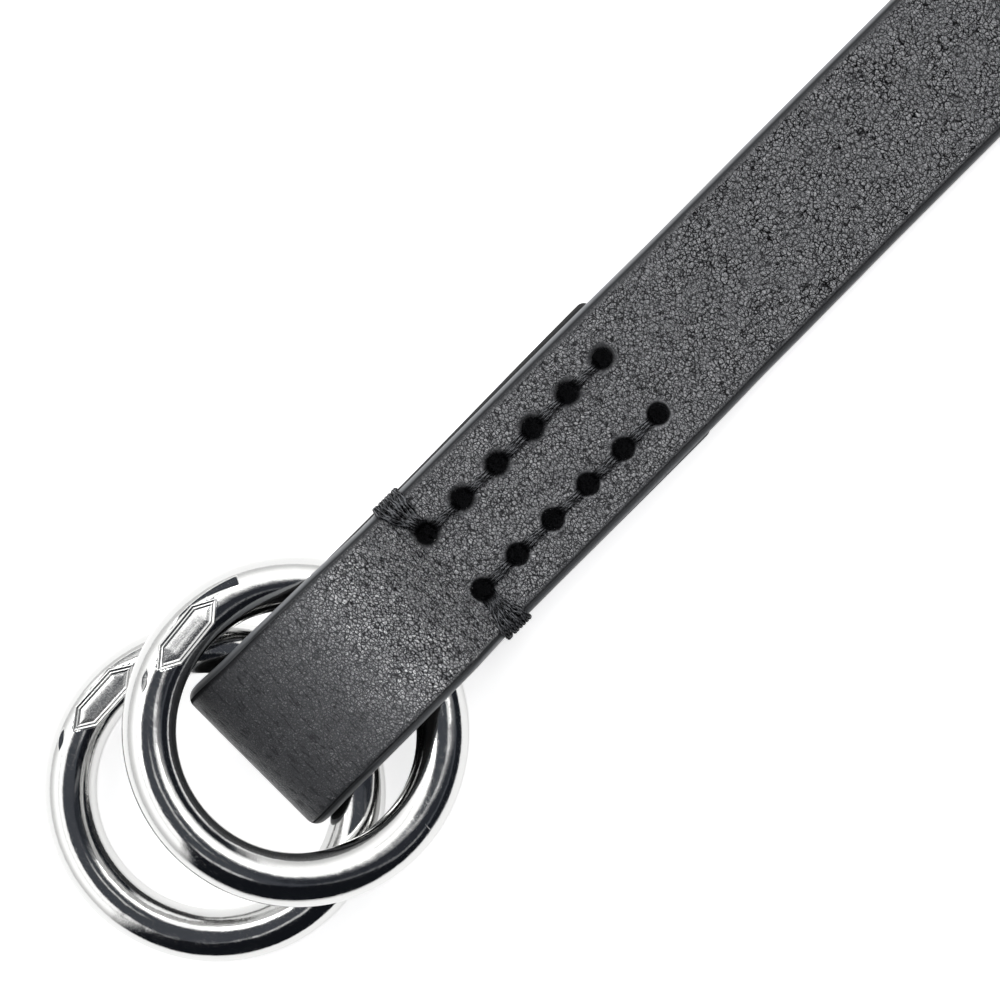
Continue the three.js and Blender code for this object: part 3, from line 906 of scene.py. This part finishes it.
def badge_surface():
    """The section carried round the outline: corner centres plus what is left of the radius."""
    slope = BADGE_SLOPE
    inset, height = BADGE_SECTION.T[:, :, None, None]
    sunk = np.maximum(inset, BADGE["corner"])
    tip = BADGE["length"] / 2 - sunk / np.sin(slope)
    shoulder = BADGE["side"] / 2 - sunk * np.tan(slope / 2)
    half = BADGE["width"] / 2 - sunk
    none = 0 * half
    along = np.concatenate([tip, shoulder, -shoulder, -tip, -shoulder, shoulder], 1)
    across = np.concatenate([none, half, half, none, -half, -half], 1)
    lean = np.pi / 2 - slope
    starts = np.array([-lean, lean, np.pi / 2, np.pi - lean, np.pi + lean, 1.5 * np.pi])
    ends = np.append(starts[1:], 2 * np.pi - lean)
    swing = starts[:, None] + (ends - starts)[:, None] * np.linspace(0, 1, CORNER_POINTS)
    radius = np.maximum(BADGE["corner"] - inset, SHARPEST)
    along = along + radius * np.cos(swing)
    across = across + radius * np.sin(swing)
    middle = RING_RADIUS - BADGE["inward"]
    points = np.stack(np.broadcast_arrays(middle - across, along, height), -1).reshape(-1, 3)
    centres = [(middle, 0.0, BADGE_SECTION[0, 1]), (middle, 0.0, BADGE_SECTION[-1, 1])]
    rows, columns = len(BADGE_SECTION), 6 * CORNER_POINTS
    quads = grid(rows, columns, around_columns=True)[:, ::-1]
    in_field = np.append(np.repeat(BADGE_SECTION[:, 0] > FIELD_INSET, columns), [False, True])
    return np.vstack([points, centres]), quads, fans(rows, columns)[:, [1, 0, 2]], in_field.astype(float)


# %% [markdown]
# Each ring turns on a stated hinge, so its place and its lean are read from that joint: the
# torus is turned until its axis is the hinge's, and its badge until it lies as in the picture.

# %% Both rings
RINGS = [
    {"body": "lower_ring", "node": "ring_lower", "badge_turn": 92.8},
    {"body": "upper_ring", "node": "ring_upper", "badge_turn": 96.3},
]


def ring_basis(axis):
    """Rotation by the shortest way from +Z to the ring's axis."""
    lean = np.cross([0.0, 0.0, 1.0], axis)
    skew = np.array([[0, -lean[2], lean[1]], [lean[2], 0, -lean[0]], [-lean[1], lean[0], 0]])
    return np.eye(3) + skew + skew @ skew / (1 + axis[2])


# %% Wire and badge in place
def make_ring(body, node, badge_turn, chrome):
    """Wire and badge in one mesh: R (T p) + c, with T the badge's turn, R the lean, c the centre."""
    joint = next(j for j in frame["joints"] if j["child"] == body)
    wire, wire_quads, along, beyond = wire_surface()
    badge, badge_quads, badge_ends, in_field = badge_surface()
    c, s = np.cos(np.radians(badge_turn)), np.sin(np.radians(badge_turn))
    to_badge = np.array([[c, -s, 0], [s, c, 0], [0, 0, 1]])
    points = np.vstack([wire, badge]) @ (ring_basis(np.array(joint["axis"])) @ to_badge).T
    centre = (np.array(joint["pos_m"]) - ORIGIN) / MM
    start, plain = len(wire), np.zeros(len(badge))
    faces = [np.vstack([wire_quads, badge_quads + start]), badge_ends + start]
    marks = {
        "satin": np.append(np.zeros(start), in_field),
        "along": np.append(along, plain),
        "beyond": np.append(beyond, plain),
    }
    piece = make_piece(node + "_plated", points + centre, faces, body, [chrome], marks=marks)
    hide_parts(node)


chrome = worn_chrome()
for ring in RINGS:
    make_ring(**ring, chrome=chrome)

# %% [markdown]
# ## Lacing thread
# Waxed three-ply thread, 0.7 mm thick, goes three times through the holes: three strands lie
# side by side in each gap between neighbouring holes, on the front and on the flap's
# underside. At the fold end eight more turns fan out from the first hole of each row and wrap
# both layers' edge. Each ply could be a tube of its own, but one tube with three lobes that
# twist along it looks the same and needs a third of the faces.

# %% Thread finish
def waxed_thread():
    """Black waxed fibre: painted highlight on the fibres' crests, painted shade between them and a painted
    shadow close to a hole.
    """
    material, tree = new_finish("waxed_black_thread")
    surface = add(tree, "UVMap", uv_map="surface")
    painted_hole_shadow = add(tree, "Attribute", attribute_name="painted_hole_shadow").outputs["Fac"]
    # The fibres of a ply are too fine to show, so bundles of them are drawn, 0.2 mm wide.
    slant = {"Vector": surface, "Rotation": (0, 0, 0.5), "Scale": (each(1.7), each(0.2), 1.0)}
    slanted = add(tree, "Mapping", slant)
    fibre = add(tree, "TexNoise", {"Vector": slanted, "Scale": 1.0, "Detail": 3.0})
    relief = add(tree, "Bump", {"Height": fibre, "Distance": 0.3 * MM, "Strength": 1.0})
    # Painted highlight on the crests and painted shade between them.
    crest_highlight = add(tree, "MapRange", (fibre, 0.44, 0.64), **EASED)
    # Painted shadow: near a hole the thread is painted black.
    in_light = add(tree, "Math", (1.0, painted_hole_shadow), **LESS)
    shown = add(tree, "Math", (crest_highlight, in_light), **TIMES)
    shade = add(tree, "Mix", {0: shown, 6: colour("#050506"), 7: colour("#6a6c70")}, **COLOURS)
    glint = add(tree, "Math", (shown, 0.8), **TIMES)
    look = {"Base Color": shade, "Roughness": 0.38, "Specular IOR Level": glint, "Normal": relief}
    add(tree, "OutputMaterial", {"Surface": add(tree, "BsdfPrincipled", look)})
    return material


# %% Fluff finish
def frayed_fibre():
    """Dry black fluff that gives back hardly any light: matt, in two near blacks."""
    material, tree = new_finish("frayed_black_fibre")
    place = add(tree, "TexCoord").outputs["Object"]
    patches = add(tree, "TexNoise", {"Vector": place, "Scale": each(0.4), "Detail": 2.0})
    shade = add(tree, "Mix", {0: patches, 6: colour("#060607"), 7: colour("#303134")}, **COLOURS)
    look = {"Base Color": shade, "Roughness": 0.85, "Specular IOR Level": 0.1}
    add(tree, "OutputMaterial", {"Surface": add(tree, "BsdfPrincipled", look)})
    return material


# %% One strand
STRAND = {"radius": 0.35, "lobes": 3, "lobe_height": 0.26, "lay": 2.3, "around": 18}


def strand(route, side, start_turn):
    """Tube round a route: radius r (1 + h cos(n (f - turn))), its turn growing along the route."""
    forward = np.gradient(route, axis=0)
    forward /= np.linalg.norm(forward, axis=1, keepdims=True)
    up = np.cross(side, forward)
    up /= np.linalg.norm(up, axis=1, keepdims=True)
    level = np.cross(forward, up)
    travelled = np.append(0, np.cumsum(np.linalg.norm(np.diff(route, axis=0), axis=1)))
    turn = (2 * np.pi * travelled / STRAND["lay"] + start_turn)[:, None]
    around = np.linspace(0, 2 * np.pi, STRAND["around"], endpoint=False)[None, :]
    bulge = 1 + STRAND["lobe_height"] * np.cos(STRAND["lobes"] * (around - turn))
    radius = (STRAND["radius"] * bulge)[..., None]
    circle = np.cos(around)[..., None] * level[:, None] + np.sin(around)[..., None] * up[:, None]
    tube = route[:, None] + radius * circle
    rows, columns = tube.shape[:2]
    points = np.vstack([tube.reshape(-1, 3), route[:1], route[-1:]])
    girth = 2 * np.pi * STRAND["radius"] * np.arange(columns) / columns
    uv = np.stack(np.broadcast_arrays(travelled[:, None], girth[None, :]), -1).reshape(-1, 2)
    uv = np.vstack([uv, [[0, 0], [travelled[-1], 0]]])
    return points, grid(rows, columns, around_columns=True), fans(rows, columns), uv


# %% Strands joined in a piece
LOWEST = 0.03
SHADED = {"to": 1.7, "from": 3.1}


def join_strands(name, strands):
    """One piece from many strands, none below the surface: points, and face numbers moved along."""
    print(f"{name}: {sum(uv[-1, 0] for *_, uv in strands):.1f} mm of thread")
    starts = np.cumsum([0] + [len(points) for points, *_ in strands])
    points = np.vstack([points for points, *_ in strands])
    points[:, 2] = np.maximum(points[:, 2], LOWEST)
    quads = np.vstack([quads + start for (_, quads, _, _), start in zip(strands, starts)])
    ends = np.vstack([ends + start for (_, _, ends, _), start in zip(strands, starts)])
    uv = np.vstack([uv for *_, uv in strands])
    # Share of the painted shadow near each hole, from the distance to the nearest hole's centre.
    away = points[:, None, :2] - HOLE_CENTRES
    away = np.hypot(away[..., 0], away[..., 1]).min(1)
    painted_hole_shadow = 1 - smooth(away, SHADED["to"], SHADED["from"])
    marks = {"painted_hole_shadow": painted_hole_shadow}
    make_piece(name, points, [quads, ends], "strap", [THREAD], uv=uv, marks=marks)


THREAD = waxed_thread()
ALONG = np.array([1.0, 0.0, 0.0])
LEFT = np.array([0.0, 1.0, 0.0])
HOLE_CENTRES = np.array([(x, row) for row in HOLE_ROWS for x in HOLE_X])

# %% [markdown]
# Between two holes the three strands lie flat on the leather and dip into the holes at both
# ends, spreading a little there. Underneath they lie in the flap's grooves.

# %% Stitches between the holes
STITCH = {"short_of_hole": 1.15, "apart": 0.5, "flare": 0.3, "lift": 0.26, "dip": 2.4}
UNDERNEATH = {"z": 0.42, "rise": 2.2}
WANDER = 0.1
MIDDLE_ON_TOP = 0.12
ROUTE_POINTS = {"stitch": 56, "bar": 130, "helix": 60, "core": 12}


def leather_height(x):
    """Height of the grain face above each x, from the side-view line."""
    return np.interp(x, LINE[1][ABOVE:], LINE[2][ABOVE:])


def stitch_routes(over):
    """Routes between neighbouring holes: flat arches, lift - dip |u|^12, for u from -1 to 1."""
    u = np.sin(np.linspace(-np.pi / 2, np.pi / 2, ROUTE_POINTS["stitch"]))
    spacing = HOLE_X[1] - HOLE_X[0]
    routes = []
    for number, (left_x, row) in enumerate((x, y) for y in HOLE_ROWS for x in HOLE_X[:-1]):
        for part in (-1, 0, 1):
            x = left_x + spacing / 2 + u * (spacing / 2 - STITCH["short_of_hole"])
            wander = WANDER * np.sin(u * 2.2 + number * 1.7 + part)
            y = row + part * (STITCH["apart"] + STITCH["flare"] * u ** 6) + wander
            if over:
                z = leather_height(x) + STITCH["lift"] - STITCH["dip"] * np.abs(u) ** 12
                z = z + (MIDDLE_ON_TOP if part == 0 else 0.0)
            else:
                z = UNDERNEATH["z"] + UNDERNEATH["rise"] * np.abs(u) ** 12
            routes.append(np.stack([x, y, z], -1))
    return routes


front = [strand(route, LEFT, k * 0.9) for k, route in enumerate(stitch_routes(True))]
back = [strand(route, LEFT, k * 1.1) for k, route in enumerate(stitch_routes(False))]
join_strands("lacing_front", front)
join_strands("lacing_back", back)

# %% [markdown]
# A bar's turn is easiest to give as the corners that it is pulled round: out of the hole,
# across to the edge, down, and back underneath. Cutting the corners four times rounds them.
# The turns leave the hole together and fan out in pairs at the edge.

# %% Sizes of the bars
FAN = {"half": 2.55, "turns": 8, "pair": 0.09, "lift": 0.28, "stagger": 0.16, "bulge": 0.22}
BARS = [
    {"name": "bar_left", "row": HOLE_ROWS[1], "outward": 1, "edge_x": 47.4, "half": 15.0},
    {"name": "bar_right", "row": HOLE_ROWS[0], "outward": -1, "edge_x": 48.2, "half": 15.5},
]


# %% Corners cut round
def rounded_route(corners, count, rounds=4):
    """Route through corners, cut round by repeated quarter points, then evenly spaced."""
    route = np.array(corners, float)
    for _ in range(rounds):
        cut = np.stack([0.75 * route[:-1] + 0.25 * route[1:], 0.25 * route[:-1] + 0.75 * route[1:]], 1)
        route = np.vstack([route[:1], cut.reshape(-1, 3), route[-1:]])
    at = np.append(0, np.cumsum(np.linalg.norm(np.diff(route, axis=0), axis=1)))
    even = np.linspace(0, at[-1], count)
    return np.stack([np.interp(even, at, route[:, k]) for k in range(3)], -1)


# %% Turns of a bar
def bar_routes(row, outward, edge_x, half):
    """Turns from the first hole over the edge and back underneath, fanned out at the edge."""
    hole = HOLE_X[0]
    near = float(leather_height(hole))
    low = UNDERNEATH["z"]
    routes = []
    for k in range(FAN["turns"]):
        share = 2 * k / (FAN["turns"] - 1) - 1
        pair = FAN["pair"] if k % 2 == 0 else -FAN["pair"]
        x = edge_x + share * FAN["half"] + pair
        top = float(leather_height(x))
        lift = FAN["lift"] + FAN["stagger"] * ((k // 2) % 2)
        bulge = FAN["bulge"] * np.sin(k * 1.9)
        sides = [
            (hole + 0.7 * share, abs(row) + 0.9, near - 2.4),
            (hole + 0.9 * share, abs(row) + 1.2, near - 0.6),
            (hole + 1.25 * share, abs(row) + 1.7, near + lift + 0.1),
            (x + (hole - x) * 0.55, abs(row) + 3.4, near + lift),
            (x + (hole - x) * 0.25 + bulge, abs(row) + 5.2, (near + top) / 2 + lift),
            (x, half - 1.2, top + lift),
            (x, half + 0.2, top + lift - 0.2),
            (x, half + 0.5, top - 1.0),
            (x, half + 0.55, 2.6),
            (x, half + 0.5, 1.0),
            (x, half + 0.1, low),
            (x, half - 1.2, low),
            (hole + 1.1 * share, abs(row) + 1.6, low),
            (hole + 0.8 * share, abs(row) + 0.9, 1.2),
            (hole + 0.5 * share, abs(row) + 0.2, 3.0),
        ]
        route = rounded_route(sides, ROUTE_POINTS["bar"])
        route[:, 0] += WANDER * np.sin(route[:, 1] * 2.1 + 2.4 * k)
        route[:, 1] *= outward
        routes.append(route)
    return routes


for bar in BARS:
    turns = bar_routes(bar["row"], bar["outward"], bar["edge_x"], bar["half"])
    join_strands(bar["name"], [strand(route, ALONG, k * 1.3) for k, route in enumerate(turns)])

# %% [markdown]
# ## Inside the holes
# The thread's turns through each hole fill it: a core strand stands in the middle and the
# turns wind round it as a helix pressed against the leather. On top, black fibres frayed off
# by the awl stand up as a round tuft that hides where the strands go in, a smaller one on the
# last hole of each row. A hair system could grow it, but its strands don't export as a mesh.
# So each fibre is a thin cone. It rises from a place in the hole that is drawn at random from
# a fixed seed, and bends over to a tip a little way off. Real fluff is too fine to show, so
# the fibres are drawn 0.1 mm thick.

# %% Turns in the holes
HELICES = [{"radius": 1.36, "rounds": 3.2}, {"radius": 0.7, "rounds": -3.6}]
HELIX_HEIGHT = {"foot": 1.0, "rise": 0.52}
CORE_HEIGHT = (0.8, 4.4)


def hole_routes():
    """For each hole two helices (r cos nt, r sin nt, foot + rise t) and a straight core."""
    routes = []
    for number, (x, row) in enumerate(HOLE_CENTRES):
        for helix in HELICES:
            turns = np.linspace(0, 2 * np.pi, ROUTE_POINTS["helix"])
            turn = turns * helix["rounds"] + number * 1.3
            height = HELIX_HEIGHT["foot"] + HELIX_HEIGHT["rise"] * turns
            off_x, off_y = helix["radius"] * np.cos(turn), helix["radius"] * np.sin(turn)
            routes.append(np.stack([x + off_x, row + off_y, height], -1))
        height = np.linspace(*CORE_HEIGHT, ROUTE_POINTS["core"])
        routes.append(np.stack([x + 0 * height, row + 0 * height, height], -1))
    return routes


join_strands("hole_turns", [strand(route, ALONG, k * 0.7) for k, route in enumerate(hole_routes())])

# %% Lines of the frayed fibres
TUFT = {"count": 620, "reach": 2.2, "last_reach": 1.85, "height": 0.8, "bend": 0.55, "sides": 3, "steps": 4}


def fibre_lines():
    """Middle lines of the fibres, root + (tip - root) t^1.6 with t from 0 to 1, and their heading."""
    chance = np.random.default_rng(7)
    x, row = np.repeat(HOLE_CENTRES, TUFT["count"], axis=0).T
    number = len(x)
    reach = np.where(x == HOLE_X[-1], TUFT["last_reach"], TUFT["reach"])
    turn = chance.uniform(0, 2 * np.pi, number)
    start = np.sqrt(chance.uniform(0, 1, number)) * (HOLE_RADIUS - 0.08)
    root = np.stack([start * np.cos(turn), start * np.sin(turn)], -1)
    tip = root * (reach[:, None] - 0.2) / HOLE_RADIUS + chance.normal(0, TUFT["bend"], (number, 2))
    limit = reach[:, None] * chance.uniform(0.75, 1.25, (number, 1))
    tip = tip / np.maximum(np.linalg.norm(tip, axis=1, keepdims=True) / limit, 1.0)
    length = chance.uniform(0.55, 1.0, number)
    thick = chance.uniform(0.04, 0.07, number)
    t = np.linspace(0, 1, TUFT["steps"])[None, :]
    dome = TUFT["height"] * np.sqrt(np.maximum(1 - (start / reach) ** 2, 0.05))
    height = (leather_height(x) - 0.7)[:, None] + (0.7 + dome * length)[:, None] * t
    flat = root[:, None] + (tip - root)[:, None] * t[..., None] ** 1.6
    middle = np.concatenate([flat + np.stack([x, row], -1)[:, None], height[..., None]], -1)
    heading = np.arctan2(*(tip - root).T[::-1])[:, None] + 0 * t
    return middle, heading, thick[:, None] * (1 - 0.7 * t)


# %% Tufts of frayed fibre
def frayed_fibres():
    """Cones round the middle lines: radius (cos f level + sin f outward), closed at both ends."""
    middle, heading, radius = fibre_lines()
    side = np.linspace(0, 2 * np.pi, TUFT["sides"], endpoint=False)
    level = np.stack([-np.sin(heading), np.cos(heading), 0 * heading], -1)
    outward = np.stack([0.6 * np.cos(heading), 0.6 * np.sin(heading), -0.8 + 0 * heading], -1)
    circle = np.cos(side)[None, None, :, None] * level[:, :, None]
    circle = circle + np.sin(side)[None, None, :, None] * outward[:, :, None]
    cones = middle[:, :, None] + radius[..., None, None] * circle
    of_one = TUFT["steps"] * TUFT["sides"]
    starts = np.arange(len(middle))[:, None, None] * of_one
    quads = (grid(TUFT["steps"], TUFT["sides"], around_columns=True)[None] + starts).reshape(-1, 4)
    cap = np.arange(TUFT["sides"])
    ends = (np.stack([cap[::-1], cap + of_one - TUFT["sides"]])[None] + starts).reshape(-1, TUFT["sides"])
    return cones.reshape(-1, 3), quads, ends


fibre_points, *fibre_faces = frayed_fibres()
make_piece("hole_fibres", fibre_points, fibre_faces, "strap", [frayed_fibre()])

# %% [markdown]
# ## Floor, light and camera
# The belt lies on a plain white sweep that glows round the belt, as a light table would, fading further
# off: painted light that pales the belt's shadow.
# The light is a white tent, worked out from what the chrome mirrors: tall white boxes with
# bright tubes behind them, a dark roof round the camera, a dark doorway and a grey far wall.
# Each panel is a row of a table: the turn that it faces, counted anticlockwise from the
# picture's right, its half width, the angles from the zenith that it spans, its light and its
# soft border, in degrees. Its dim parts are tinted a cool blue, as they are in the chrome.

# %% Floor
CAMERA_TURN = -45.0
FLOOR_HALF = 3.0
POOL = {"even_to": 150 * MM, "ends_at": 420 * MM, "light": 0.72}
corners = [(-FLOOR_HALF, -FLOOR_HALF, 0), (FLOOR_HALF, -FLOOR_HALF, 0)]
corners += [(FLOOR_HALF, FLOOR_HALF, 0), (-FLOOR_HALF, FLOOR_HALF, 0)]
floor_mesh = bpy.data.meshes.new("floor")
floor_mesh.from_pydata(corners, [], [(0, 1, 2, 3)])
floor = bpy.data.objects.new("floor", floor_mesh)
bpy.context.scene.collection.objects.link(floor)
sweep, tree = new_finish("matt_white_sweep_glowing")
where = add(tree, "TexCoord").outputs["Object"]
from_middle = add(tree, "VectorMath", (where,), operation="LENGTH")
# Painted light: the floor glows most round the belt and fades out, which pales the belt's shadow.
pool = add(tree, "MapRange", (from_middle, POOL["even_to"], POOL["ends_at"], POOL["light"], 0.0), **EASED)
look = {"Base Color": colour("#dcdcdc"), "Roughness": 0.8}
look |= {"Emission Color": colour("#ffffff"), "Emission Strength": pool}
add(tree, "OutputMaterial", {"Surface": add(tree, "BsdfPrincipled", look)})
floor_mesh.materials.append(sweep)
print(f"floor: {2 * FLOOR_HALF:.0f} m square")

# %% Panels of the light tent
WALL_LIGHT = 0.95
PANEL_COLUMNS = ("turn", "half", "from", "to", "light", "blur")
PANELS = {
    "white side boxes": (131, 119, 20, 72, 1.7, 13),
    "bright tube on the left": (150, 34, 35, 43, 9.0, 2),
    "bright tube at the top": (52, 30, 38, 47, 9.0, 2),
    "seam of the boxes": (131, 119, 45, 47, 0.9, 1),
    "grey far wall": (4, 22, 26, 95, 0.28, 6),
    "dark foot of the far wall": (8, 48, 60, 90, 0.03, 7),
    "dark doorway": (282, 50, 20, 100, 0.02, 5),
    "dark roof": (0, 180, -9, 29, 0.12, 2),
    "dark beam": (-7, 20, 20, 58, 0.06, 3),
    "lamp by the camera": (40, 40, 7, 11, 1.2, 2),
    "lamp under the beam": (268, 22, 22, 26, 1.2, 2),
}


def panel_share(tree, panel, zenith, level):
    """Share of a panel in each direction: its band of zenith angles times its arc of turns."""
    blur = panel["blur"]
    turn = np.radians(panel["turn"] + CAMERA_TURN)
    centre = (float(np.cos(turn)), float(np.sin(turn)), 0.0)
    inner = np.cos(np.radians(max(panel["half"] - blur, 0)))
    outer = np.cos(np.radians(min(panel["half"] + blur, 180)))
    toward = add(tree, "VectorMath", (level, centre), operation="DOT_PRODUCT")
    masks = [
        (zenith, panel["from"] - blur, panel["from"] + blur, 0.0, 1.0),
        (zenith, panel["to"] - blur, panel["to"] + blur, 1.0, 0.0),
    ]
    if panel["half"] < 180:
        masks.append((toward, outer, inner, 0.0, 1.0))
    share = 1.0
    for mask in masks:
        share = add(tree, "Math", (add(tree, "MapRange", mask, **EASED), share), **TIMES)
    return share


# %% Light tent
def light_tent():
    """World light by direction: plain walls, with each panel laid over the ones before it."""
    world = bpy.data.worlds.new("light_tent")
    world.use_nodes = True
    tree = world.node_tree
    tree.nodes.clear()
    direction = add(tree, "TexCoord").outputs["Generated"]
    height = add(tree, "SeparateXYZ", (direction,)).outputs["Z"]
    angle = add(tree, "Math", (height,), operation="ARCCOSINE")
    zenith = add(tree, "Math", (angle,), operation="DEGREES")
    flat = add(tree, "VectorMath", (direction, (1.0, 1.0, 0.0)), **TIMES)
    level = add(tree, "VectorMath", (flat,), operation="NORMALIZE")
    light = WALL_LIGHT
    for values in PANELS.values():
        panel = dict(zip(PANEL_COLUMNS, values))
        light = add(tree, "Mix", {0: panel_share(tree, panel, zenith, level), 2: light, 3: panel["light"]})
    # Below a third of full light, the tint turns cool.
    warmth = add(tree, "Math", (light, 3.0), **TIMES)
    tint = add(tree, "Mix", {0: warmth, 6: colour("#aebcd8"), 7: colour("#ffffff")}, **COLOURS)
    studio = add(tree, "Background", {"Color": tint, "Strength": light})
    backdrop = add(tree, "Background", {"Color": colour("#f7f7f7"), "Strength": 1.0})
    sight = add(tree, "LightPath").outputs["Is Camera Ray"]
    shown = add(tree, "MixShader", (sight, studio, backdrop))
    add(tree, "OutputWorld", {"Surface": shown})
    return world


bpy.context.scene.world = light_tent()
print(f"light tent: {len(PANELS)} panels over plain walls")
bpy.context.scene.view_settings.view_transform = "Standard"

# %% [markdown]
# The photograph was taken from straight above with a long lens, turned so that the strap runs
# up to the right. The camera stands 450 mm over the surface.

# %% Camera
CAMERA = {"from_fold": (61.2755, 1.6456, 450.0), "focal_pixels": 2608.0, "picture": 1000.0}
SENSOR = 36.0
camera_data = bpy.data.cameras.new("camera")
camera_data.sensor_width = SENSOR
camera_data.lens = SENSOR * CAMERA["focal_pixels"] / CAMERA["picture"]
camera_data.clip_start = 0.01
camera = bpy.data.objects.new("camera", camera_data)
camera.location = to_row(CAMERA["from_fold"])
camera.rotation_euler = (0.0, 0.0, np.radians(CAMERA_TURN))
bpy.context.scene.collection.objects.link(camera)
bpy.context.scene.camera = camera
print(f"camera: {CAMERA['from_fold'][2]:.0f} mm up, lens {camera_data.lens:.1f} mm")
